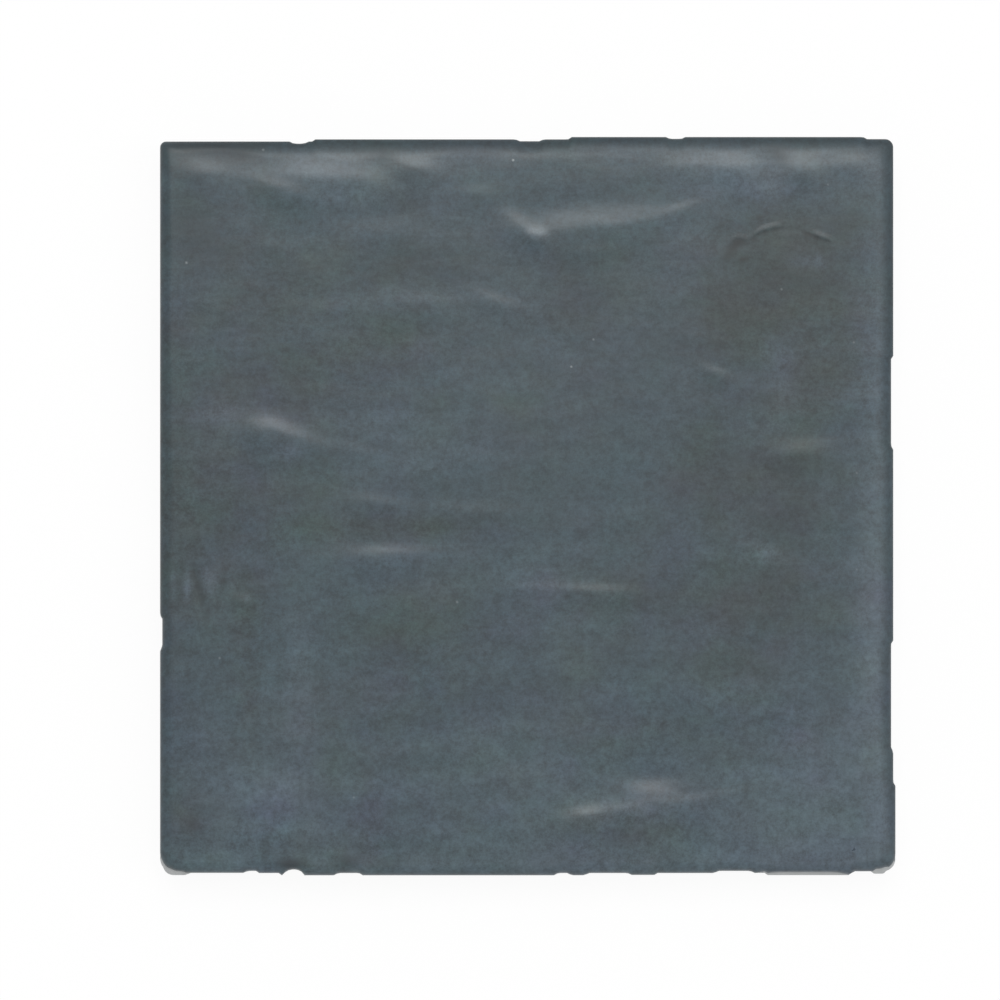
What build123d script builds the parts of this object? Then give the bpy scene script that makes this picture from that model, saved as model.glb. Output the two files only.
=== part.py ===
from build123d import *
from math import cos, exp, radians, sin
import os

# Ceramic wall tile: one fired piece with a wavy glazed face on top and a keyed back below.
# The back lies in the zero plane, and the middle of the back is the origin.

# Overall sizes across the outermost points, in millimetres.
width = 100.0
height = 100.4
thickness = 8.0

# Outline: how far the uneven sides stand back at most, and the radius of each corner.
waver = 0.6
top_left_radius = 0.8
top_right_radius = 1.1
bottom_right_radius = 1.6
bottom_left_radius = 1.9

# Edges: the rolled rim of the face, the drafted foot of the sides and the bevel at the back.
rim_radius = 0.65
rim_corner_share = 0.85
foot = 4.0
foot_draft = 0.5
back_bevel = 0.5

# Face: the shoulder that falls away to the rim, and the waves between the shoulders.
shoulder_drop = 0.55
shoulder_reach = 3.0
wave_room = 0.25
wave_height = 0.26
grid_step = 1.8
grid_tolerance = 0.005

# Chips in the rim.
chip_radius = 1.6
chip_bite = 0.75

# Back: square pockets that key into the adhesive, in rows with ribs between.
pocket_rows = 8
back_land = 6.0
rib = 1.8
pocket_depth = 0.8
pocket_corner = 1.2
pocket_draft_degrees = 20

# Length by which every cutting shape runs past the stock.
overrun = 0.3

# Stand-back of each side at even steps, as shares of the waver.
bottom_shares = (0.5, 0.5, 0.5, 0.9, 0.4, 0.0, 0.4, 0.1, 0.0, 0.0, 0.1, 0.0, 0.1,
                 0.4, 0.2, 0.5, 0.2, 0.5, 0.6, 1.0, 0.4, 0.3, 0.3, 0.8, 1.0)
right_shares = (0.1, 0.0, 0.1, 0.5, 0.9, 1.0, 1.0, 0.9, 0.5, 0.5, 0.4, 0.5, 0.5,
                0.5, 0.8, 1.0, 0.9, 0.7, 0.5, 0.5, 0.5, 0.4, 0.5, 0.5, 0.5)
top_shares = (0.9, 1.0, 1.0, 0.9, 1.1, 0.6, 0.5, 0.5, 0.4, 0.5, 0.5, 0.5, 0.9,
              0.5, 0.1, 0.0, 0.1, 0.4, 0.0, 0.1, 0.0, 0.0, 0.0, 0.1, 0.4)
left_shares = (0.1, 0.1, 0.0, 0.1, 0.1, 0.0, 0.1, 0.2, 0.5, 0.2, 0.0, 0.1, 0.1,
               0.0, 0.0, 0.1, 0.0, 0.1, 0.1, 0.0, 0.1, 0.0, 0.1, 0.1, 0.1)

# Waves on the face, one row each: place across, place up, half length and half breadth
# as shares of the width, height as a share of the wave height, and turn in degrees.
wave_shares = (
    (-0.43, 0.44, 0.05, 0.022, 0.5, -12),
    (-0.34, 0.42, 0.05, 0.022, 0.5, -10),
    (-0.28, 0.43, 0.08, 0.030, 0.6, 0),
    (-0.15, 0.45, 0.05, 0.024, 0.8, 0),
    (0.26, 0.45, 0.06, 0.024, 0.8, 0),
    (0.40, 0.45, 0.05, 0.024, 0.7, 0),
    (-0.02, 0.37, 0.03, 0.022, 0.9, -29),
    (0.12, 0.38, 0.10, 0.022, 0.9, 8),
    (-0.14, 0.26, 0.13, 0.026, 0.4, 0),
    (-0.33, 0.09, 0.06, 0.024, 0.9, -19),
    (-0.20, 0.00, 0.04, 0.024, 0.5, 0),
    (-0.10, -0.02, 0.05, 0.022, 0.4, -5),
    (-0.19, -0.08, 0.07, 0.022, 0.7, 0),
    (0.06, -0.13, 0.10, 0.024, 0.6, 0),
    (0.38, 0.07, 0.05, 0.024, 0.4, 8),
    (0.24, 0.17, 0.04, 0.024, 0.4, -20),
    (0.34, 0.36, 0.06, 0.022, 0.4, 0),
    (0.33, -0.07, 0.04, 0.024, 0.4, 0),
    (0.17, -0.40, 0.05, 0.024, 0.6, 0),
    (0.09, -0.43, 0.04, 0.022, 0.5, 0),
    (-0.43, -0.11, 0.05, 0.024, 0.4, 60),
    (0.44, -0.20, 0.20, 0.024, 0.4, 90),
    (-0.06, 0.41, 0.04, 0.022, 0.3, 0),
    (-0.18, 0.36, 0.05, 0.022, 0.3, 0),
    (0.08, 0.33, 0.04, 0.022, 0.3, 0),
    (-0.30, -0.32, 0.12, 0.060, 0.4, 15),
    (0.28, -0.25, 0.14, 0.070, 0.4, -10),
)

# Chips in the rim, one row each: place across as a share of the width, bottom (-1) or
# top (1) side, stand-back there as a share of the waver, and bite as a share of the chip bite.
chip_shares = (
    (-0.318, -1, 0.2, 1.0),
    (-0.311, 1, 0.9, 0.4),
)


def face_level(across, up):
    """Height of the glazed face over one point of the back."""
    fall_across = exp((abs(across) - width / 2) / shoulder_reach)
    fall_up = exp((abs(up) - height / 2) / shoulder_reach)
    level = thickness - wave_room - shoulder_drop * (fall_across + fall_up)
    for place_across, place_up, length, breadth, rise, turn in wave_shares:
        off_across = across - place_across * width
        off_up = up - place_up * height
        along = off_across * cos(radians(turn)) + off_up * sin(radians(turn))
        aside = off_up * cos(radians(turn)) - off_across * sin(radians(turn))
        spread = (along / (length * width)) ** 2 + (aside / (breadth * width)) ** 2
        level += rise * wave_height * exp(-spread)
    return level


def outline(level, inset):
    """Closed outline of the tile at one level, with its wavering sides and round corners."""
    ends = (
        Vector(-width / 2, -height / 2, level),
        Vector(width / 2, -height / 2, level),
        Vector(width / 2, height / 2, level),
        Vector(-width / 2, height / 2, level),
    )
    ways = (Vector(1, 0, 0), Vector(0, 1, 0), Vector(-1, 0, 0), Vector(0, -1, 0))
    radii = (bottom_left_radius, bottom_right_radius, top_right_radius, top_left_radius)
    sides = (bottom_shares, right_shares, top_shares[::-1], left_shares[::-1])
    edges = []
    for number, shares in enumerate(sides):
        after = (number + 1) % len(sides)
        way = ways[number]
        inward = ways[after]
        first = inset + waver * sides[number - 1][-1] + radii[number]
        last = inset + waver * sides[after][0] + radii[after]
        run = (ends[after] - ends[number]).length - first - last
        points = []
        for step, share in enumerate(shares):
            along = first + run * step / (len(shares) - 1)
            points.append(ends[number] + way * along + inward * (inset + waver * share))
        edges.append(Edge.make_spline(points, tangents=(way, way)))
        radius = radii[after]
        centre = points[-1] + inward * radius
        middle = centre + (way - inward).normalized() * radius
        edges.append(Edge.make_three_point_arc(points[-1], middle, centre + way * radius))
    return Wire(edges)


def even_places(span):
    """Places at even steps from end to end of a span that is centred on zero."""
    count = round(span / grid_step)
    return [span * (number / count - 0.5) for number in range(count + 1)]


# Stock with a drafted foot and upright sides, a little taller than the finished face.
rings = [outline(0, foot_draft), outline(foot, 0), outline(thickness + overrun, 0)]
tile = Solid.make_loft(rings, ruled=True)

# The wavy face is a smooth surface through a grid of heights; all above it comes off.
margin = 2 * grid_step
rows = even_places(height + margin)
columns = even_places(width + margin)
grid = [[Vector(across, up, face_level(across, up)) for across in columns] for up in rows]
skin = Face.make_surface_from_array_of_points(grid, tol=grid_tolerance, min_deg=3, max_deg=3)
tile -= Solid.extrude(skin, Vector(0, 0, thickness))

# The glaze rolls over the rim of the face, and the edge around the back is bevelled.
corner_radii = (top_left_radius, top_right_radius, bottom_right_radius, bottom_left_radius)
roll = min(rim_radius, rim_corner_share * min(corner_radii))
tile = fillet(tile.faces().sort_by(Axis.Z)[-1].edges(), roll)
tile = chamfer(tile.faces().sort_by(Axis.Z)[0].edges(), back_bevel)

# Chips are round bites out of the rim.
for place, side, back, bite in chip_shares:
    away = height / 2 - waver * back + chip_radius - chip_bite * bite
    level = face_level(place * width, side * height / 2)
    tile -= Pos(place * width, side * away, level) * Sphere(chip_radius)

# The back is pressed with rows of shallow pockets, and the ribs between them cross in the middle.
pocket_pitch = (min(width, height) - 2 * back_land) / pocket_rows
square = Rectangle(pocket_pitch - rib, pocket_pitch - rib)
mouth = Pos(0, 0, -overrun) * chamfer(square.vertices(), pocket_corner)
pocket = extrude(mouth, pocket_depth + overrun, taper=pocket_draft_degrees)
tile -= GridLocations(pocket_pitch, pocket_pitch, pocket_rows, pocket_rows) * pocket

os.makedirs("parts", exist_ok=True)
export_step(tile, "parts/tile.step")
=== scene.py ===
# A hand-finished ceramic wall tile: a mottled slate glaze on a pale fired body, seen from above.
import math

import bpy
import numpy as np
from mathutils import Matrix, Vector


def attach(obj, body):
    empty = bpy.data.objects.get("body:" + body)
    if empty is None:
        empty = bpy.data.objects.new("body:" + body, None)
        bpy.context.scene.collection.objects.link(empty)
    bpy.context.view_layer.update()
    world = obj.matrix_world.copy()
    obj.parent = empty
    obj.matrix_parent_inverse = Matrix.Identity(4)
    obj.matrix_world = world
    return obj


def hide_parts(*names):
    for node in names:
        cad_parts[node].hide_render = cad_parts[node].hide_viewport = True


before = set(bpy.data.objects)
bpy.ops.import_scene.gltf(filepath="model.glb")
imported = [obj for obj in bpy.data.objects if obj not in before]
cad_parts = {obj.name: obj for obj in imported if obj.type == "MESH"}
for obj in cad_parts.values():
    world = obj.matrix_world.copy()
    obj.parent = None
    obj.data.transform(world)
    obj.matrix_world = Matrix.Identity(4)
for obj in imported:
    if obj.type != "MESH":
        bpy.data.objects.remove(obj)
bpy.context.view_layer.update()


# The tile. One piece of pale clay, pressed in a mould with a grid of pockets in its back.
# Its face was dipped in glaze and fired, so the waves, the soft shoulder and the rolled rim
# are the glaze's own. It lies on its back, and the sides waver as hand-cut ones do.

# Lengths are worked out in millimetres, and mm turns them into metres at the end.
mm = 0.001
width = 100.0
height = 100.4
corner_radii = (1.9, 1.6, 1.1, 0.8)
# The four sides, each from its first corner on: where a run starts, and how far it stands
# back from the straight side. The clay was cut by hand, and flakes came off its edges.
bottom_runs = ((0, 0.38), (11.7, 0.65), (13.3, 0.36), (16.4, 0.05), (24.0, 0.36), (27.3, 0.05),
               (53.9, 0.36), (55.7, 0.06), (58.0, 0.36), (63.8, 0.1), (67.4, 0.36),
               (75.6, 0.65), (80.5, 0.36), (82.4, 0.05), (94.0, 0.6))
right_runs = ((0, 0.04), (12.5, 0.34), (17.1, 0.63), (31.7, 0.34), (58.2, 0.63), (70.4, 0.34))
top_runs = ((0, 0.31), (4.2, 0.03), (28.9, 0.28), (30.9, 0.03), (44.3, 0.35), (48.1, 0.6),
            (51.4, 0.35), (79.1, 0.64))
left_runs = ((0, 0.04), (65.2, 0.34), (69.5, 0.04))
edge_runs = (bottom_runs, right_runs, top_runs, left_runs)
ways = np.array(((1, 0), (0, 1), (-1, 0), (0, -1)), float)
cut_corners = np.array(((-0.5, -0.5), (0.5, -0.5), (0.5, 0.5), (-0.5, 0.5))) * (width, height)
usual_back = 0.35
# Half the length of the slant from one run to the next.
slant_half = 0.2
# Shares of a side's steps, and the shares of its length that they reach: short steps at
# the corners.
step_shares, place_shares = (0, 0.06, 0.94, 1), (0, 0.03, 0.97, 1)

# Chips in the rim: side, place along it from its start, half width and depth.
chips = (
    (0, 18.2, 1.35, 0.80),
    (2, 81.1, 1.20, 0.30),
)

# Where the glaze stops short of the side and leaves a narrow ledge of bare clay: side,
# place along it, half length and depth. At both lower corners it rounds off earlier too,
# which draws its points in up to about the draw reach from the corner.
ledges = (
    (0, 2.3, 1.10, 0.20),
    (0, 87.6, 5.60, 0.42),
    (0, 98.0, 0.95, 0.36),
)
glazed_radii = (2.9, 2.4, 1.1, 0.8)
draw_reach = 3.0
# Where the clay stands out past its run under the glaze: the same, with depths outward.
spurs = (
    (0, 2.2, 1.70, -0.33),
    (0, 97.7, 0.90, -0.36),
)
# The power that gives ledges and spurs their steep ends, and how fast chips and ledges
# get shallower inwards from the rim.
end_power, inward_fade = 8, 0.5


def side_line(number, inset, steps, glazed=True, cut=1.0):
    """Points of one side, from the middle of one corner to the middle of the next.

    The line stands back by the side's runs, with a short slant from one to the next, by its
    chips, each half an ellipse, and by its ledges, or out by its spurs where it is bare
    clay: their depth times e to minus a high power of the distance from their middle. All
    of it is moved in by the inset. A cut under 1 brings the runs nearer to their usual
    depth. At a corner the line also falls back by the radius less the root of its square
    less the square of the way still to go, and the glaze's rounder corners draw in the
    points near them.
    """
    after = (number + 1) % 4
    way, inward = ways[number], ways[after]
    runs = np.array(edge_runs[number])
    runs[:, 1] = usual_back + cut * (runs[:, 1] - usual_back)
    radii = glazed_radii if glazed else corner_radii
    first_back = usual_back + cut * (edge_runs[number - 1][-1][1] - usual_back) + inset
    last_back = usual_back + cut * (edge_runs[after][0][1] - usual_back) + inset
    length = abs((cut_corners[after] - cut_corners[number]) @ way)
    middle = 1 - math.sqrt(0.5)
    low = first_back + middle * corner_radii[number]
    high = length - last_back - middle * corner_radii[after]
    along = low + (high - low) * np.interp(np.linspace(0, 1, steps + 1),
                                           step_shares, place_shares)
    first_draw = middle * (radii[number] - corner_radii[number])
    last_draw = middle * (radii[after] - corner_radii[after])
    along = (along + first_draw * np.exp(-((along - low) / draw_reach) ** 2)
             - last_draw * np.exp(-((high - along) / draw_reach) ** 2))

    slants = np.repeat(runs[1:, 0], 2) + np.tile((-slant_half, slant_half), len(runs) - 1)
    back = np.interp(along, [0, *slants, length], np.repeat(runs[:, 1], 2)) + inset
    for side, centre, half, depth in chips:
        if side == number:
            reach = np.clip(1 - ((along - centre) / half) ** 2, 0, 1)
            back = back + max(depth - inset * inward_fade, 0) * np.sqrt(reach)
    for side, centre, half, depth in (ledges if glazed else spurs):
        if side == number:
            depth = max(depth - inset * inward_fade, 0) if glazed else depth
            back = back + depth * np.exp(-((along - centre) / half) ** end_power)
    for left, radius in ((along - first_back, radii[number]),
                         (length - last_back - along, radii[after])):
        back = back + radius - np.sqrt(radius ** 2 - np.clip(radius - left, 0, None) ** 2)
    return cut_corners[number] + along[:, None] * way + back[:, None] * inward


def ring(inset, steps, glazed=True, cut=1.0):
    """Closed ring of points: the four sides at one inset, each without its last point."""
    return np.concatenate([side_line(number, inset, steps, glazed, cut)[:-1]
                           for number in range(4)])


# Waves of the glaze, one row each: place of the crest across and up, half length, half
# breadth up and down from the crest, height, and turn in degrees. The first ones lie along
# the top side, and the rows go on downwards and end with a few broad swells.
waves = (
    (-43.8, 45.0, 3.7, 1.6, 2.6, 0.13, -9),
    (-33.2, 42.8, 4.9, 1.2, 2.6, 0.11, -17),
    (-28.0, 44.2, 6.8, 2.1, 3.2, 0.22, 0),
    (-20.5, 43.3, 3.6, 1.5, 2.4, 0.09, -16),
    (-15.8, 45.9, 2.9, 1.6, 3.5, 0.24, -18),
    (1.0, 47.2, 10.0, 0.8, 2.2, 0.04, 0),
    (22.3, 46.0, 4.5, 1.5, 2.6, 0.10, 2),
    (28.4, 45.6, 3.1, 1.9, 2.4, 0.20, 0),
    (37.5, 45.5, 2.7, 2.0, 2.6, 0.23, -3),
    (43.8, 46.3, 2.9, 1.5, 2.4, 0.12, 3),
    (-6.5, 42.2, 2.7, 1.2, 2.0, 0.06, 0),
    (-18.7, 37.2, 5.0, 1.5, 2.6, 0.06, 0),
    (-1.2, 38.0, 2.6, 1.1, 2.6, 0.135, -36),
    (4.6, 37.2, 4.6, 1.8, 3.4, 0.12, 6),
    (13.4, 38.1, 5.2, 1.8, 3.4, 0.13, 6),
    (8.2, 41.0, 9.2, 2.4, 1.8, -0.07, 7),
    (21.0, 40.4, 3.5, 0.6, 1.6, 0.06, 16),
    (1.3, 36.6, 1.2, 0.8, 1.4, 0.20, -5),
    (9.5, 34.7, 2.5, 0.7, 1.2, 0.03, 0),
    (-26.5, 26.7, 5.0, 1.1, 2.2, 0.025, 4),
    (-14.5, 27.2, 6.0, 1.3, 2.4, 0.055, -2),
    (-4.6, 27.9, 3.2, 0.8, 1.6, 0.07, -20),
    (-35.0, 9.95, 3.3, 1.9, 3.2, 0.25, -13),
    (-30.4, 8.7, 4.0, 1.2, 2.6, 0.10, -17),
    (-23.5, 7.8, 3.5, 0.7, 1.6, 0.03, -15),
    (-20.6, 0.5, 4.2, 1.0, 1.8, 0.08, -6),
    (-8.6, -0.7, 5.0, 0.9, 1.6, 0.055, -5),
    (-19.0, -6.8, 6.6, 1.2, 2.2, 0.15, 2),
    (9.3, -11.6, 5.2, 0.8, 1.6, 0.10, -2),
    (1.0, -11.0, 4.0, 0.5, 1.4, 0.03, -2),
    (37.0, 7.1, 4.4, 1.6, 3.2, 0.13, 5),
    (25.6, 18.0, 2.4, 0.6, 1.4, 0.065, -24),
    (31.8, -6.7, 4.4, 1.3, 2.0, 0.05, -22),
    (16.6, -39.5, 4.0, 1.7, 2.2, 0.14, 3),
    (16.6, -36.4, 4.2, 2.2, 1.7, -0.20, 3),
    (7.6, -42.2, 2.2, 1.2, 2.0, 0.16, 8),
    (15.5, -41.3, 9.0, 1.3, 2.0, 0.18, 7),
    (25.5, -39.3, 4.5, 0.6, 1.4, 0.04, 9),
    (-42.6, -10.4, 2.4, 1.1, 1.3, 0.06, 65),
    (-44.9, -10.9, 3.4, 0.7, 0.7, -0.05, -80),
    (-38.9, -12.7, 1.2, 0.6, 0.9, 0.05, -20),
    (45.0, -22.0, 26.0, 2.6, 2.2, 0.09, -90),
    (-30.0, -32.0, 12.0, 6.0, 6.0, 0.10, 15),
    (28.0, -25.0, 14.0, 7.0, 7.0, 0.10, -10),
    (-2.0, 12.0, 20.0, 9.0, 9.0, 0.06, 5),
)

# Lip of a closed crack in the glaze, from left to right: places across and up, and how high
# it stands at marks along it.
lip_across = np.array((26.4, 27.4, 28.2, 29.0, 29.8, 30.5, 31.6, 33.0, 34.3, 35.7, 36.6, 37.7,
                       38.7, 39.7, 41.4))
lip_up = np.array((34.4, 35.7, 36.6, 36.4, 36.2, 36.7, 37.4, 37.8, 38.1, 38.2, 38.0, 37.5,
                   37.0, 36.6, 36.1))
lip_marks = (27.2, 27.9, 29.5, 30.5, 31.4, 33.6, 34.7, 37.0, 38.5, 39.2, 40.4, 41.4)
lip_heights = (0, 0.3, 0.35, 0.15, 0.85, 0.85, 0.1, 0, 0.15, 0.8, 0.8, 0)
lip_top, lip_breadth = 0.02, 0.4

# Low ripples between the waves, drawn once from a fixed seed.
draw = np.random.default_rng(31)
ripple_count = 90
ripples = np.stack([
    draw.uniform(-48, 48, ripple_count), draw.uniform(-47, 47, ripple_count),
    draw.uniform(2.5, 9.0, ripple_count), draw.uniform(0.8, 1.8, ripple_count),
    draw.uniform(1.0, 2.4, ripple_count), draw.uniform(-0.012, 0.022, ripple_count),
    draw.normal(0, 12, ripple_count)], 1)

# The level of the face, the most that a wave may reach, and the drop and breadth of the
# shoulder along the sides.
face_middle, face_limit = 7.75, 7.99
shoulder_drop, shoulder_breadth = 0.12, 3.4


def face_level(across, up):
    """Height of the glaze over each point of the face.

    A flat middle less a soft shoulder along each side, which is e to minus the square of
    the distance from that side, plus one smooth hump per wave: e to minus the squares of
    the distances along and across it, each over its own breadth, with the breadth across
    it chosen by the side of its crest. The crack's lip is such a hump along its own line.
    """
    from_sides = np.abs(across) - width / 2
    from_ends = np.abs(up) - height / 2
    level = face_middle - shoulder_drop * (np.exp(-(from_sides / shoulder_breadth) ** 2)
                                           + np.exp(-(from_ends / shoulder_breadth) ** 2))
    for place_across, place_up, length, above, below, rise, degrees in (*waves, *ripples):
        cosine, sine = math.cos(math.radians(degrees)), math.sin(math.radians(degrees))
        along = (across - place_across) * cosine + (up - place_up) * sine
        aside = (up - place_up) * cosine - (across - place_across) * sine
        breadth = np.where(aside > 0, above, below)
        level = level + rise * np.exp(-(along / length) ** 2 - (aside / breadth) ** 2)
    lip = np.interp(across, lip_across, lip_up)
    lip_height = np.interp(across, lip_marks, lip_heights)
    level = level + lip_top * lip_height * np.exp(-((up - lip) / lip_breadth) ** 2)
    return np.minimum(level, face_limit)


def patch(sides):
    """Surface between four edge lines: the two blends of opposite edges, added up, less
    the blend of the four corners."""
    low, right, high, left = sides
    count = len(low)
    share = np.linspace(0, 1, count)[:, None, None]
    other = share.transpose(1, 0, 2)
    across = low[None, :, :] * (1 - share) + high[None, :, :] * share
    along = left[:, None, :] * (1 - other) + right[:, None, :] * other
    corners = ((low[0] * (1 - other) + low[-1] * other) * (1 - share)
               + (high[0] * (1 - other) + high[-1] * other) * share)
    return across + along - corners


def rim_walk(count):
    """Numbers of a square grid's edge points, once round from the first corner."""
    grid = np.arange((count + 1) ** 2).reshape(count + 1, count + 1)
    return np.concatenate([grid[0, :-1], grid[:-1, -1], grid[-1, :0:-1], grid[:0:-1, 0]])


def quads(grid):
    """Four-cornered faces of a grid of point numbers, turning left as seen from above."""
    corners = [grid[:-1, :-1], grid[:-1, 1:], grid[1:, 1:], grid[1:, :-1]]
    return np.stack(corners, -1).reshape(-1, 4)


# The face: a square of small faces up to the inner inset, at the glaze's own height.
face_steps = 240
inner_inset = 3.2
lines = [side_line(number, inner_inset, face_steps) for number in range(4)]
flat = patch((lines[0], lines[1], lines[2][::-1], lines[3][::-1])).reshape(-1, 2)
face_points = np.column_stack([flat, face_level(flat[:, 0], flat[:, 1])])
face_grid = np.arange(len(face_points)).reshape(face_steps + 1, face_steps + 1)

# From the face outwards and down: the shoulder, the rolled rim, the upright side, the
# drafted foot and the bevel at the back. The rim is a quarter of an ellipse. How far in it
# starts is given by the side and share of its length, counted on from the first corner,
# and wavers round the tile, as a few dozen sine waves with drawn heights.
roll_drop = 1.3
roll_waver, least_waves, most_waves = 0.035, 5, 39
roll_places = (0, 1.0, 1.1, 1.9, 2.01, 2.035, 2.085, 2.13, 2.15, 2.18, 2.21, 2.27, 2.31,
               2.39, 2.50, 2.60, 2.62, 2.66, 2.68, 2.70, 2.71, 2.75, 2.82, 2.86, 2.90, 3.0,
               3.1, 3.9, 4.0)
roll_reaches = (1.5, 1.5, 1.75, 1.75, 1.95, 2.15, 2.35, 2.55, 1.95, 1.95, 2.55, 2.25, 1.95,
                1.85, 2.15, 2.05, 2.35, 2.75, 2.35, 1.95, 2.35, 2.7, 2.6, 2.05, 1.75, 1.6, 1.8,
                1.8, 1.5)
draw = np.random.default_rng(12)
around = 4 * face_steps
round_turn = np.arange(around) * (2 * math.pi / around)
side_numbers, step_numbers = np.divmod(np.arange(around), face_steps)
rim_places = side_numbers + np.interp(step_numbers / face_steps, step_shares, place_shares)
roll_reach = np.interp(rim_places, roll_places, roll_reaches)
roll_reach += sum(draw.normal(0, roll_waver) * np.sin(number * round_turn + draw.uniform(0, 6.28))
                  for number in range(least_waves, most_waves + 1))
rim_insets = (2.8, 2.45, 2.2, 1.95, 1.7, 1.45, 1.2, 0.95, 0.7, 0.48, 0.28, 0.13, 0.04, 0.0)
rings = []
for inset in rim_insets:
    line = ring(inset, face_steps)
    outward = np.clip(1 - inset / roll_reach, 0, 1)
    sunk = roll_drop * (1 - np.sqrt(1 - outward ** 2))
    rings.append(np.column_stack([line, face_level(line[:, 0], line[:, 1]) - sunk]))
# Under the rim, one row for each level: height, inset and how deep the runs are cut there.
foot_cut = 0.2
side_profile = ((6.0, 0.05, 1), (5.85, 0.0, 1), (4.1, 0.0, 1), (3.9, 0.02, 0.95),
                (2.2, 0.24, 0.3), (0.55, 0.45, foot_cut), (0.45, 0.52, foot_cut),
                (0.1, 0.86, foot_cut), (0.02, 0.96, foot_cut), (0.0, 1.1, foot_cut))
for level, inset, cut in side_profile:
    line = ring(inset, face_steps, False, cut)
    rings.append(np.column_stack([line, np.full(len(line), level)]))
rim_ring, clay_ring = rings[len(rim_insets) - 1], rings[len(rim_insets)]


def clearance(spots, line):
    """Distance of each spot from a closed line: the least of those to its straight pieces,
    each measured to the nearest place on the piece."""
    piece = np.roll(line, -1, axis=0) - line
    away = spots[:, None] - line
    share = np.clip((away * piece).sum(2) / (piece ** 2).sum(1), 0, 1)
    return np.hypot(*(away - share[..., None] * piece).transpose(2, 0, 1)).min(1)


ledge_width = clearance(clay_ring[:, :2], rim_ring[:, :2])

# The back: half as many steps as the face. Each pocket has its own lines in the grid, at
# its mouth and floor, and its depth follows from the distance to its cut-cornered edge.
back_steps = face_steps // 2
pocket_rows, pocket_pitch, rib = 8, 11.0, 1.8
pocket_depth, pocket_corner, pocket_wall = 0.8, 1.2, 0.29
stations = np.array((0, 0.6, 0.9, 1.19, 1.55, 2.1, 3.2, 4.7, 6.3, 7.8, 8.9, 9.45, 9.81, 10.1,
                     10.4))
half_grid = pocket_rows * pocket_pitch / 2
cuts = np.concatenate([stations + pocket_pitch * row for row in range(pocket_rows)])
cuts = np.append(cuts, 2 * half_grid) - half_grid
across, up = np.meshgrid(cuts, cuts)
half_mouth = (pocket_pitch - rib) / 2
cell_across = np.abs((across + half_grid) % pocket_pitch - pocket_pitch / 2)
cell_up = np.abs((up + half_grid) % pocket_pitch - pocket_pitch / 2)
edge = np.minimum(half_mouth - np.maximum(cell_across, cell_up),
                  (2 * half_mouth - pocket_corner - cell_across - cell_up) / math.sqrt(2))
sunk = pocket_depth * np.clip(edge / pocket_wall, 0, 1)
back_points = np.column_stack([across.ravel(), up.ravel(), sunk.ravel()])
back_grid = np.arange(len(back_points)).reshape(back_steps + 1, back_steps + 1)
back_insets = (1.8, 3.4)
back_around = 4 * back_steps
back_rings = [np.column_stack([ring(inset, back_steps, False, foot_cut), np.zeros(back_around)])
              for inset in back_insets]

# All points in one list, and the faces between them.
blocks = [face_points, *rings, *back_rings, back_points]
starts = np.cumsum([0] + [len(block) for block in blocks])
walks = [rim_walk(face_steps)]
walks += [starts[1 + number] + np.arange(around) for number in range(len(rings))]
fine_end = walks[-1]
back_walks = [starts[1 + len(rings) + number] + np.arange(back_around)
              for number in range(len(back_rings))]
back_walks.append(starts[-2] + rim_walk(back_steps))


def band(upper, lower):
    """Four-cornered faces between two closed rings with equal counts of points."""
    return np.stack([upper, lower, np.roll(lower, -1), np.roll(upper, -1)], 1)


def halving_band(fine, coarse):
    """Three-cornered faces between a ring and one with half its points."""
    low, middle, high = fine[0::2], fine[1::2], np.roll(fine[0::2], -1)
    after = np.roll(coarse, -1)
    return np.concatenate([np.stack([coarse, middle, low], 1),
                           np.stack([coarse, after, middle], 1),
                           np.stack([after, high, middle], 1)])


points = np.concatenate(blocks) * mm
neighbours = [*zip(walks, walks[1:]), *zip(back_walks, back_walks[1:])]
four_sided = np.concatenate([quads(face_grid)] + [band(*pair) for pair in neighbours]
                            + [quads(back_grid)[:, ::-1] + starts[-2]])
three_sided = halving_band(fine_end, back_walks[0])
mesh = bpy.data.meshes.new("tile")
mesh.from_pydata(points.tolist(), [], four_sided.tolist() + three_sided.tolist())
mesh.polygons.foreach_set("use_smooth", np.ones(len(mesh.polygons), bool))
tile = bpy.data.objects.new("fired_tile", mesh)
bpy.context.collection.objects.link(tile)
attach(tile, "root")
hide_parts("tile")


def keep(name, values):
    """Store one number for each point of the tile under a name, for its material."""
    mesh.attributes.new(name, "FLOAT", "POINT").data.foreach_set("value", values)


# Distance from the rim, and the side's share in the rim's darker colour, which is thin glaze and
# painted shade, and in its duller gloss: most along the top and the right side.
far_in = 4.0
from_rim = np.full(len(points), far_in)
for number, depth in enumerate(rim_insets + (0.0,) * len(side_profile)):
    from_rim[starts[1 + number]:starts[2 + number]] = depth
keep("from_rim", from_rim)
across, up = points[:, 0] / mm, points[:, 1] / mm
least_rim_share, rim_share_slope = 0.05, 6
keep("thin_and_shade", least_rim_share + (1 - least_rim_share) * np.clip((across / width + up / height) * rim_share_slope
                                                     + 0.5, 0, 1))

# How far above the crack's lip each point lies, and how strong the painted shadow under the lip
# and how high the lip are along it.
shadow_marks = (26.0, 26.8, 29.2, 30.4, 31.0, 33.5, 35.2, 36.8, 37.5, 38.8, 41.0, 42.8)
shadow_shares = (0, 0.3, 0.4, 0.6, 0.5, 0.5, 0.25, 0.3, 0.8, 0.8, 0.5, 0)
keep("lip_away", up - np.interp(across, lip_across, lip_up))
keep("lip_shadow_share", np.interp(across, shadow_marks, shadow_shares))
keep("lip_high", np.interp(across, lip_marks, lip_heights))


def soften(values, reach):
    """Mean of each value and its neighbours round the ring, up to the reach on both sides."""
    return sum(np.roll(values, shift) for shift in range(-reach, reach + 1)) / (2 * reach + 1)


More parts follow.
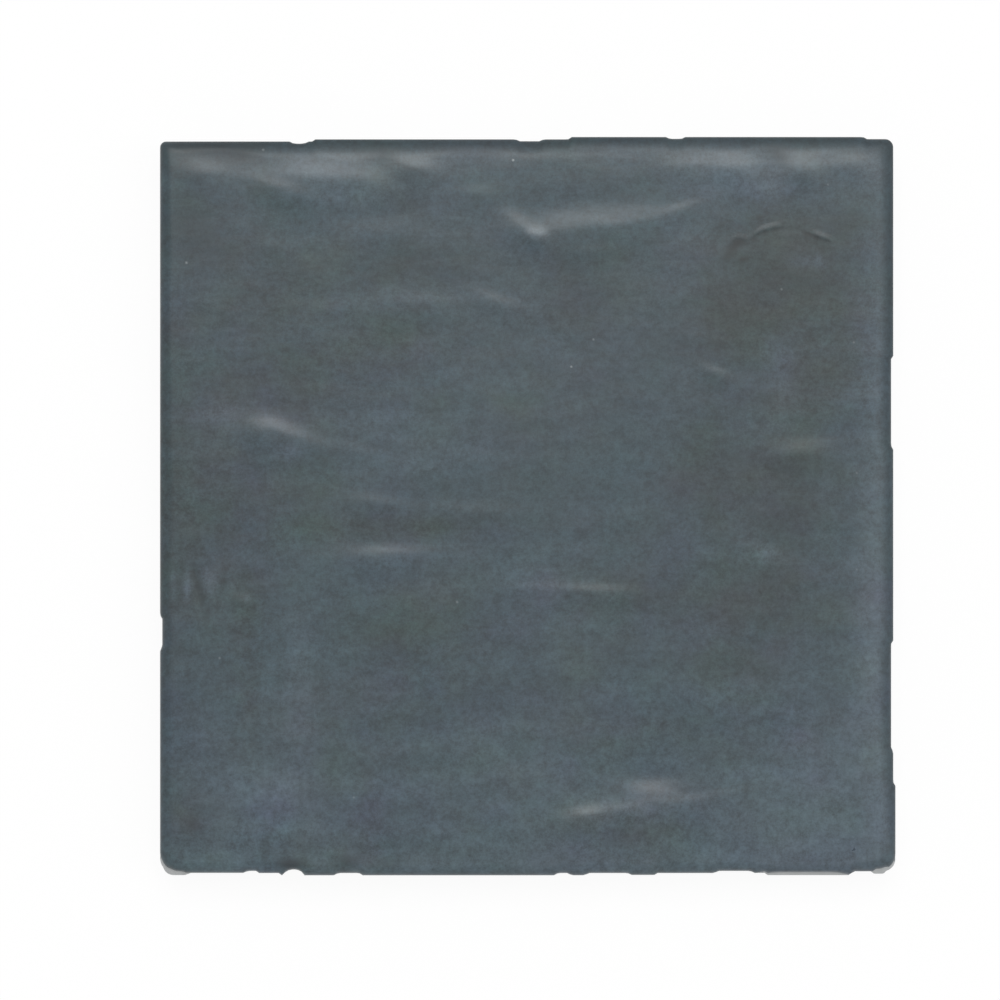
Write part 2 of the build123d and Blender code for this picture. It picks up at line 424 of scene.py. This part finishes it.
# Share of bare clay on the ledges, which the glaze doesn't reach, and a wide soft share
# that lets the glaze's lower edge climb towards them, from the rim's own ring down.
least_ledge = 0.1
bare_rim = soften(np.clip((ledge_width - least_ledge) / least_ledge, 0, 1), 2)
bare_near_rim = soften(soften(bare_rim, 8), 6)
bare, bare_near = np.zeros(len(points)), np.zeros(len(points))
for number in range(len(rim_insets) - 1, len(rings)):
    bare[starts[1 + number]:starts[2 + number]] = bare_rim
    bare_near[starts[1 + number]:starts[2 + number]] = bare_near_rim
keep("bare", bare)
keep("bare_near", bare_near)

# Where the glaze pooled thin or thick: warm dark patches and pale ones, one row each, as place
# across and up, half width, half height and weight. Several pale rows are painted sheen, glow and
# highlights, along the lower and right rims and beside the waves' highlights, and one warm strip
# along the left side is painted shade.
warm_patches_and_side_shade = (
    (35.0, 32.0, 10.0, 8.0, 1.3), (40.0, 20.0, 7.0, 9.0, 1.0), (28.5, 25.0, 4.5, 7.0, 0.85),
    (5.5, 29.5, 5.5, 5.0, 0.9), (-43.0, 0.0, 9.0, 8.0, 1.1), (-18.0, -2.7, 11.0, 2.0, 1.1),
    (-35.0, 30.0, 8.0, 8.0, 0.7), (-19.0, 21.0, 8.0, 6.0, 0.9), (-30.0, 18.0, 8.0, 6.0, 0.6),
    (-15.0, -20.5, 11.0, 7.0, 0.65), (13.0, -13.0, 9.0, 3.0, 0.6), (34.5, 2.0, 8.0, 12.0, 0.8),
    (30.0, -14.0, 10.0, 6.0, 0.6), (14.0, -44.0, 8.0, 4.5, 0.8), (17.0, -30.0, 6.0, 3.0, 0.6),
    (-38.0, -22.0, 2.4, 11.0, 0.8), (-21.5, -41.0, 1.8, 7.0, 0.5), (-45.0, -10.7, 0.9, 4.0, 0.6),
    (-39.6, -45.0, 1.6, 2.2, 0.5), (-36.0, -45.0, 1.0, 2.0, 0.5), (-32.0, -48.9, 3.0, 1.6, 1.6),
    (-46.5, -43.0, 3.0, 3.0, 0.5), (-37.0, -15.0, 3.5, 4.0, 0.5), (31.0, -28.0, 7.0, 5.0, 0.5),
    (-42.0, 14.0, 5.0, 5.0, 0.5), (-17.5, 32.5, 7.0, 4.0, 0.4), (27.0, -20.7, 4.0, 5.0, 0.6),
    # In the next row, the long strip at the left side is painted shade along that side.
    (-21.5, -29.5, 7.0, 2.0, 0.5), (-46.0, -43.3, 1.6, 1.6, 0.6), (-48.0, 3.0, 2.6, 46.0, 0.5),
    (24.7, 8.0, 3.2, 9.0, 0.7), (-26.0, -47.5, 1.4, 1.4, 1.0), (-20.0, -46.5, 2.5, 3.2, 0.7),
    (-33.5, -43.5, 1.6, 3.0, 0.6),
)
pale_patches_and_sheen = (
    (47.0, -20.0, 3.5, 26.0, 1.0), (39.0, -41.0, 12.0, 8.0, 1.1), (-36.5, -39.0, 9.0, 6.0, 0.8),
    (1.0, 37.1, 1.2, 0.8, 1.5), (32.3, -6.3, 3.2, 1.8, 0.8), (-42.9, -10.7, 1.1, 1.7, 0.9),
    (-43.7, -8.8, 0.7, 0.7, 0.6), (-40.0, -10.5, 0.5, 1.2, 0.6), (-38.1, -12.4, 0.7, 0.7, 0.7),
    (-46.2, -11.0, 0.6, 2.4, 0.8), (-48.1, -10.9, 0.5, 2.2, 0.6), (37.7, 33.1, 3.2, 1.3, 0.7),
    (39.5, 33.9, 0.5, 1.0, 0.5), (-31.0, -22.0, 2.2, 12.0, 0.45), (-19.3, 10.6, 6.0, 3.5, 0.4),
    (0.0, -38.0, 12.0, 7.0, 0.4), (32.0, 45.5, 16.0, 3.0, 0.6), (-32.0, 44.5, 15.0, 3.0, 0.6),
    (-2.0, 14.0, 22.0, 12.0, 0.25), (-14.0, 28.0, 11.0, 3.0, 0.3), (34.0, 17.0, 2.5, 6.0, 0.5),
    (-41.0, 11.0, 5.0, 5.0, 0.5), (47.0, 25.0, 3.0, 20.0, 0.4), (-14.0, 5.0, 12.0, 5.0, 0.3),
    (-5.0, -49.5, 46.0, 3.0, 1.0), (0.0, -36.0, 60.0, 18.0, 0.38),
    (49.3, 0.0, 2.0, 46.0, 0.35), (-26.0, -45.5, 6.0, 3.0, 0.4), (45.0, -48.9, 6.0, 1.6, 1.0),
    (46.5, -44.0, 4.5, 5.0, 0.4), (12.0, -40.5, 9.0, 2.6, 0.4), (1.0, -10.0, 6.0, 5.0, 0.4),
    (28.0, 43.0, 10.0, 1.6, 0.6), (45.5, 45.8, 3.5, 1.2, 0.6), (35.0, -28.0, 9.0, 1.3, 0.35),
    (-11.0, -9.0, 9.0, 4.0, 0.35), (-23.5, 42.0, 5.0, 1.6, 0.8), (-32.5, 7.2, 2.5, 1.5, 0.8),
)
# Pits, and painted shade in soft clouds and where highlights are dimmed, where the colour is
# darker, in rows like those of the patches.
pits_and_painted_shade = (
    (28.2, 35.6, 0.6, 0.7, 0.8), (27.5, 34.6, 0.6, 0.7, 0.6), (26.9, 33.7, 0.6, 0.6, 0.5),
    (29.15, 33.4, 0.65, 0.4, 0.9), (29.1, 35.9, 0.9, 0.6, 0.6), (30.7, 36.2, 0.4, 0.5, 0.8),
    (-45.3, -9.2, 0.5, 0.9, 0.5), (-44.7, -10.9, 0.5, 0.9, 0.6), (-44.1, -12.6, 0.5, 0.9, 0.6),
    (-43.4, -14.4, 0.5, 0.9, 0.5), (-41.2, -10.2, 0.5, 0.5, 0.6), (-41.1, -8.5, 0.4, 0.5, 0.6),
    (-47.2, -10.3, 0.5, 0.5, 0.4), (-45.5, -43.1, 1.0, 1.0, 0.4), (-35.6, -46.3, 0.5, 2.2, 0.4),
    (11.7, -38.8, 0.8, 0.6, 0.5), (-21.9, -38.0, 0.7, 3.0, 0.25), (29.7, -38.4, 0.5, 1.6, 0.4),
    (-32.2, -48.5, 2.4, 0.9, 1.0), (-24.6, -48.0, 2.0, 1.1, 0.7), (12.7, -45.7, 3.5, 1.2, 0.25),
    (35.0, 32.0, 9.0, 7.0, 0.34), (7.0, 29.5, 6.0, 4.5, 0.24), (-15.5, 33.0, 12.0, 4.5, 0.25),
    (0.0, 8.0, 20.0, 12.0, 0.12), (34.0, 0.0, 7.0, 11.0, 0.18),
    (-38.0, 31.0, 9.0, 8.0, 0.10), (-44.5, 48.6, 6.0, 1.1, 0.55), (-38.6, 47.3, 3.2, 1.2, 0.5),
    (34.2, 47.6, 1.7, 1.5, 0.6), (-46.0, 38.0, 4.0, 6.0, 0.38), (-43.0, 34.5, 2.5, 3.0, 0.25),
    (43.0, 38.8, 3.5, 3.0, 0.28), (20.0, 21.5, 10.0, 7.0, 0.24), (39.5, -33.2, 1.0, 3.5, 0.25),
    (2.5, -47.5, 12.0, 1.3, 0.25), (-27.5, -38.5, 3.5, 3.0, 0.25), (-43.0, -40.8, 4.5, 2.2, 0.25),
    (30.0, -41.3, 5.5, 2.6, 0.2), (-20.0, 47.7, 2.5, 1.0, 0.5), (-19.4, -48.3, 3.0, 1.0, 0.5),
    (31.9, 16.0, 2.5, 2.5, 0.3),
)
most_pooled = 1.5


def pooled(rows):
    """Sum of soft round patches, each its weight times e to minus the squares of the
    distances across and up, over its half width and half height."""
    total = np.zeros(len(points))
    for place_across, place_up, half_width, half_height, weight in rows:
        total += weight * np.exp(-((across - place_across) / half_width) ** 2
                                 - ((up - place_up) / half_height) ** 2)
    return np.clip(total, 0, most_pooled)


keep("warm_and_shade", pooled(warm_patches_and_side_shade))
keep("pale_and_sheen", pooled(pale_patches_and_sheen))
keep("pits_and_shade", pooled(pits_and_painted_shade))


class Tint:
    """An output in a node tree. Python's operators on it add Math nodes."""

    def __init__(self, tree, socket=None):
        self.tree = tree
        self.socket = socket

    def node(self, kind, settings=None, sockets=None, output=0):
        """A new node of a kind. Its settings are set first, then its sockets' values or links."""
        made = self.tree.nodes.new(kind)
        for name, value in (settings or {}).items():
            setattr(made, name, value)
        for name, value in (sockets or {}).items():
            if isinstance(value, Tint):
                self.tree.links.new(value.socket, made.inputs[name])
            else:
                made.inputs[name].default_value = value
        return Tint(self.tree, made.outputs[output] if made.outputs else None)

    def stored(self, name):
        """The number that the mesh holds under a name."""
        return self.node("ShaderNodeAttribute", {"attribute_name": name}, output=2)

    def times(self, other):
        """This colour times another one, channel by channel."""
        return self.node("ShaderNodeVectorMath", {"operation": "MULTIPLY"}, {0: self, 1: other})

    def math(self, operation, first, second=0.0):
        """A Math node on two numbers or outputs."""
        return self.node("ShaderNodeMath", {"operation": operation}, {0: first, 1: second})

    def __add__(self, other):
        return self.math("ADD", self, other)

    def __radd__(self, other):
        return self.math("ADD", other, self)

    def __sub__(self, other):
        return self.math("SUBTRACT", self, other)

    def __rsub__(self, other):
        return self.math("SUBTRACT", other, self)

    def __mul__(self, other):
        return self.math("MULTIPLY", self, other)

    def __rmul__(self, other):
        return self.math("MULTIPLY", other, self)

    def ramp(self, low, high):
        """0 below the low value, 1 above the high one, and a smooth step between."""
        return self.node("ShaderNodeMapRange", {"interpolation_type": "SMOOTHSTEP"},
                         {"Value": self, "From Min": low, "From Max": high})

    def between(self, low, high):
        """Mix of two colours by this share."""
        return self.node("ShaderNodeMix", {"data_type": "RGBA"}, {0: self, 6: low, 7: high}, 2)

    def noise(self, place, scale, detail=3.0, stretch=(1, 1, 1), roughness=0.5, output=0):
        """Cloudy noise from 0 to 1, with a size of about 1/scale, stretched along the axes.
        The roughness is the share of strength kept at each finer level of detail."""
        spread = self.node("ShaderNodeMapping", None, {"Vector": place, "Scale": stretch})
        return self.node("ShaderNodeTexNoise", None,
                         {"Vector": spread, "Scale": scale, "Detail": detail,
                          "Roughness": roughness}, output)


# Colours of the glaze and of the fired clay, and what is left of the glaze's colour at the rim,
# where it runs thin and has painted shade, and where pits, painted shade and the painted shadow
# under the crack's lip darken it.
slate = (0.032, 0.0545, 0.0675, 1)
# The warm slate also paints shade along the left side.
warm_slate_and_shade = (0.0235, 0.0395, 0.044, 1)
# The pale slate also paints sheen, glow and highlights.
pale_slate_and_sheen = (0.056, 0.083, 0.103, 1)
thin_and_shade_share = (0.62, 0.65, 0.65)
shade_and_pit_share = (0.3, 0.3, 0.31)
biscuit = (0.545, 0.56, 0.56, 1)
biscuit_grey = (0.45, 0.465, 0.47, 1)
# Painted glints of tiny pinholes in the glaze, as pale dots: places across and up, and how pale
# each is. They lie at one level, and each is a dot that fades between its core and its reach.
glint_dots = ((-35.9, 48.4, 0.3), (-46.3, 33.0, 0.4), (-2.0, 46.9, 0.9), (40.7, 43.6, 0.35),
          (8.9, 22.6, 0.45), (5.9, 18.9, 0.9), (34.4, 29.4, 0.3), (44.2, 22.2, 0.3),
          (-9.6, -13.0, 0.35), (44.6, -8.6, 0.45), (44.6, 4.5, 0.3), (-41.8, -20.6, 0.3),
          (-23.6, -39.5, 0.3))
glint_level, glint_core, glint_reach = 7.6, 0.06, 0.3
glint_colour = (0.34, 0.38, 0.39, 1)
# How strongly the clouds of colour tint the glaze.
tint_depth = 0.55
# The painted shadow under the crack's lip: how far its middle lies under the lip, how far its
# dark core reaches from there, and where it has faded out.
shadow_under, shadow_core, shadow_reach = 0.42, 0.05, 0.58
# Full height of the bumps in the glaze and in the clay.
glaze_relief, clay_relief = 0.1, 0.15
# Where the glaze ends on the sides: from where to where it fades out, how much this line
# wavers, how far it climbs near the bare ledges, and where a ledge's bare clay begins.
line_foot, line_top, line_waver, line_climb = 2.9, 3.2, 3.6, 5.2
ledge_foot, ledge_top = 5.0, 5.7

glaze = bpy.data.materials.new("glaze_and_biscuit")
glaze.use_nodes = True
tree = glaze.node_tree
tree.nodes.clear()
sheet = Tint(tree)
place = sheet.node("ShaderNodeTexCoord", output=3)
apart = sheet.node("ShaderNodeSeparateXYZ", None, {0: place})
rise = Tint(tree, apart.socket.node.outputs[2])

warm_and_shade, pale_and_sheen, pits_and_shade, thin_and_shade, rim_away, lip_away, lip_high, lip_shadow_share = (
    sheet.stored(name) for name in ("warm_and_shade", "pale_and_sheen", "pits_and_shade", "thin_and_shade", "from_rim", "lip_away",
                                    "lip_high", "lip_shadow_share"))
clouds = sheet.noise(place, 90.0, 4.0)
streaks = sheet.noise(place, 140.0, 5.0, (0.45, 1.6, 1.0))
blotches = sheet.noise(place, 240.0, 3.0)
mottle = sheet.noise(place, 720.0, 3.2, roughness=0.95)
tints = sheet.noise(place, 120.0, 4.0, (0.9, 1.1, 1.0), 0.55, output=1)

# The glaze's colour: slate, warmer and paler by the patches and the clouds, where the pale
# patches also paint sheen and highlights and a warm strip paints shade along the left side, with
# a fine mottle, soft streaks and tints, then darker in the pits, in painted shade, in the painted
# shadow under the crack's lip and at the rim, where thin glaze and painted shade darken it.
warm_and_shade_share = (warm_and_shade + (clouds - 0.5) * 1.8 + (blotches - 0.5) * 1.2).ramp(-0.2, 1.2)
pale_and_sheen_share = (pale_and_sheen + (streaks - 0.5) * 1.0 + (blotches - 0.5) * 0.5).ramp(0.0, 1.2)
colour = pale_and_sheen_share.between(warm_and_shade_share.between(slate, warm_slate_and_shade), pale_slate_and_sheen)
mottle = (mottle - 0.5) * (1.0 + warm_and_shade * 0.35) + 0.5
shade = mottle.ramp(0.0, 1.0).between((0.3, 0.3, 0.3, 1), (1.7, 1.7, 1.7, 1))
tints = sheet.node("ShaderNodeVectorMath", {"operation": "MULTIPLY_ADD"},
                   {0: tints, 1: (tint_depth,) * 3, 2: (1 - tint_depth / 2,) * 3})
streak_shade = streaks.ramp(0.0, 1.0).between((0.88, 0.88, 0.88, 1), (1.12, 1.12, 1.12, 1))
colour = colour.times(shade).times(streak_shade)
colour = (0.4 + warm_and_shade_share).between(colour, colour.times(tints))
# Share by which the colour darkens: the painted shadow under the crack's lip, and the pits and
# painted shade of the dark patches.
lip_shadow = 1.0 - sheet.math("ABSOLUTE", lip_away + shadow_under).ramp(shadow_core, shadow_reach)
depth = sheet.math("MAXIMUM", lip_shadow * lip_shadow_share, pits_and_shade + (pits_and_shade * (mottle - 0.5)) * 1.2)
colour = depth.between(colour, colour.times(shade_and_pit_share))
# Thin glaze and painted shade at the rim: darker towards the edge, mostly along the top and the
# right side.
rim_shade_share = thin_and_shade * (1.0 - (rim_away + (clouds - 0.5) * 0.8).ramp(0.8, 2.4))
colour = rim_shade_share.between(colour, colour.times(thin_and_shade_share))

glint_speck = None
for glint_across, glint_up, glint_share in glint_dots:
    away = sheet.node("ShaderNodeVectorMath", {"operation": "SUBTRACT"},
                      {0: place, 1: (glint_across * mm, glint_up * mm, glint_level * mm)})
    away = sheet.node("ShaderNodeVectorMath", {"operation": "LENGTH"}, {0: away}, 1)
    dot = (1.0 - away.ramp(glint_core * mm, glint_reach * mm)) * glint_share
    glint_speck = dot if glint_speck is None else sheet.math("MAXIMUM", glint_speck, dot)
# The painted glints, as pale dots in the colour.
colour = glint_speck.between(colour, glint_colour)

# Its fine relief, and its gloss, which is duller where it is thin.
swell = sheet.noise(place, 260.0, 2.0, (0.5, 1.4, 1.0))
orange_peel = sheet.noise(place, 1300.0, 2.0)
lip_rise = (lip_away.ramp(-0.45, 0.0) - lip_away.ramp(0.0, 0.8)) * lip_high * 0.9
glaze_bump = sheet.node("ShaderNodeBump", None,
                        {"Strength": 0.35, "Distance": glaze_relief * mm,
                         "Height": swell + orange_peel * 0.08 + glint_speck + lip_rise})
dulled = thin_and_shade * (1.0 - rim_away.ramp(1.1, 2.7))
glaze_shader = sheet.node("ShaderNodeBsdfPrincipled", None, {
    "Base Color": colour, "Roughness": 0.305 + (clouds - 0.5) * 0.04 + dulled * 0.22,
    "Normal": glaze_bump, "IOR": 1.5})

# The bare clay of the foot and the back: pale and matt, with greyer clouds and a fine grain.
clay_noise = sheet.noise(place, 500.0, 6.0)
clay_clouds = sheet.noise(place, 60.0, 3.0)
clay_colour = (clay_clouds * 0.6 + clay_noise * 0.5).ramp(0.3, 0.8).between(biscuit, biscuit_grey)
clay_bump = sheet.node("ShaderNodeBump", None, {
    "Strength": 0.5, "Distance": clay_relief * mm, "Height": clay_noise})
clay_shader = sheet.node("ShaderNodeBsdfPrincipled", None, {
    "Base Color": clay_colour, "Roughness": 0.85, "Normal": clay_bump})

# The glaze ran down the sides and stopped unevenly a few millimetres above the back.
runs = sheet.noise(place, 160.0, 3.0, (1.0, 1.0, 0.35))
bare_edge = (sheet.stored("bare") + (runs - 0.5) * 0.9).ramp(0.4, 0.6)
climb = sheet.stored("bare_near") * (line_climb * mm)
glaze_edge = rise + (runs - 0.5) * (line_waver * mm) - climb
bare_top = bare_edge * rise.ramp(ledge_foot * mm, ledge_top * mm)
covered = glaze_edge.ramp(line_foot * mm, line_top * mm) * (1.0 - bare_top)
both = sheet.node("ShaderNodeMixShader", None, {0: covered, 1: clay_shader, 2: glaze_shader})
sheet.node("ShaderNodeOutputMaterial", None, {"Surface": both})
mesh.materials.append(glaze)


# The floor: a plain white sheet under the tile, with an opening that the tile covers, so
# that its back can be seen from below. To the camera and in reflections it is nearly its
# own even white, and it keeps a trace of the tile's shadow.

# Half breadths of the sheet and of its opening, and its level, in metres. Then how bright
# it glows and the share of that glow in what the camera sees.
sheet_reach, opening_reach, sheet_level = 2.0, 0.0484, -0.00002
sheet_glow, glow_share = 1.02, 0.9
floor_mesh = bpy.data.meshes.new("floor")
spread = np.array(((-1, -1), (1, -1), (1, 1), (-1, 1)))
sheet_points = np.column_stack([np.concatenate([spread * sheet_reach, spread * opening_reach]),
                                np.full(8, sheet_level)])
floor_mesh.from_pydata(sheet_points.tolist(), [],
                       [(number, (number + 1) % 4, (number + 1) % 4 + 4, number + 4)
                        for number in range(4)])
floor = bpy.data.objects.new("floor", floor_mesh)
bpy.context.collection.objects.link(floor)
paper = bpy.data.materials.new("white_sheet")
paper.use_nodes = True
paper.node_tree.nodes.clear()
ground = Tint(paper.node_tree)


def seen_white(tint):
    """1 for a ray from the camera, a reflection or a see-through surface, else 0."""
    path = tint.node("ShaderNodeLightPath").socket.node
    camera_ray, glossy_ray, through_ray = (
        Tint(tint.tree, path.outputs[name])
        for name in ("Is Camera Ray", "Is Glossy Ray", "Is Transmission Ray"))
    return tint.math("MAXIMUM", tint.math("MAXIMUM", camera_ray, glossy_ray), through_ray)


matt = ground.node("ShaderNodeBsdfDiffuse", None, {"Color": (0.8, 0.8, 0.8, 1)})
glow = ground.node("ShaderNodeEmission", None, {"Color": (1, 1, 1, 1), "Strength": sheet_glow})
mixed = ground.node("ShaderNodeMixShader", None,
                    {0: seen_white(ground) * glow_share, 1: matt, 2: glow})
ground.node("ShaderNodeOutputMaterial", None, {"Surface": mixed})
floor_mesh.materials.append(paper)


# The studio: an even pale room, a wide soft box over the top side of the tile and a
# weaker one over its right side. Each is given by its brightness as seen from the tile.
# To the camera and in reflections the room is plain white.
room_light = 0.55
world = bpy.data.worlds.new("pale_room")
bpy.context.scene.world = world
world.use_nodes = True
world.node_tree.nodes.clear()
room = Tint(world.node_tree)
even = room.node("ShaderNodeBackground", None, {"Color": (1, 1, 1, 1), "Strength": room_light})
white = room.node("ShaderNodeBackground", None, {"Color": (1, 1, 1, 1), "Strength": 1.0})
mixed = room.node("ShaderNodeMixShader", None, {0: seen_white(room), 1: even, 2: white})
room.node("ShaderNodeOutputWorld", None, {"Surface": mixed})


def soft_box(name, lean, heading, distance, wide, tall, brightness):
    """A flat lamp aimed at the tile: its lean from upright, its heading round the tile and
    its distance place it, in degrees and metres, and its power is brightness times its
    area times pi."""
    lamp = bpy.data.lights.new(name, "AREA")
    lamp.shape = "RECTANGLE"
    lamp.size = wide
    lamp.size_y = tall
    lamp.energy = brightness * wide * tall * math.pi
    box = bpy.data.objects.new(name, lamp)
    flat_reach = distance * math.sin(math.radians(lean))
    turned = math.radians(heading)
    box.location = (flat_reach * math.cos(turned), flat_reach * math.sin(turned),
                    distance * math.cos(math.radians(lean)))
    box.rotation_euler = box.location.to_track_quat("Z", "Y").to_euler()
    bpy.context.collection.objects.link(box)


soft_box("top_soft_box", 24.5, 90, 3.0, 1.8, 1.46, 4.6)
soft_box("right_soft_box", 34, 0, 3.0, 1.4, 2.3, 1.35)


# The camera: straight above, with a long lens, at the photograph's framing. Its picture is
# one frame width broad at the frame level, close to the face, and the picture's middle lies
# a little to the left of the tile's and above it.
frame_width, frame_across, frame_up, frame_level = 135.75, -3.77, 0.85, 7.0
lens, sensor = 200.0, 36.0
lens_data = bpy.data.cameras.new("camera")
lens_data.lens = lens
lens_data.sensor_width = sensor
camera = bpy.data.objects.new("camera", lens_data)
camera.location = Vector((frame_across, frame_up,
                          frame_level + frame_width * lens / sensor)) * mm
bpy.context.collection.objects.link(camera)
bpy.context.scene.camera = camera
bpy.context.scene.view_settings.view_transform = "Standard"
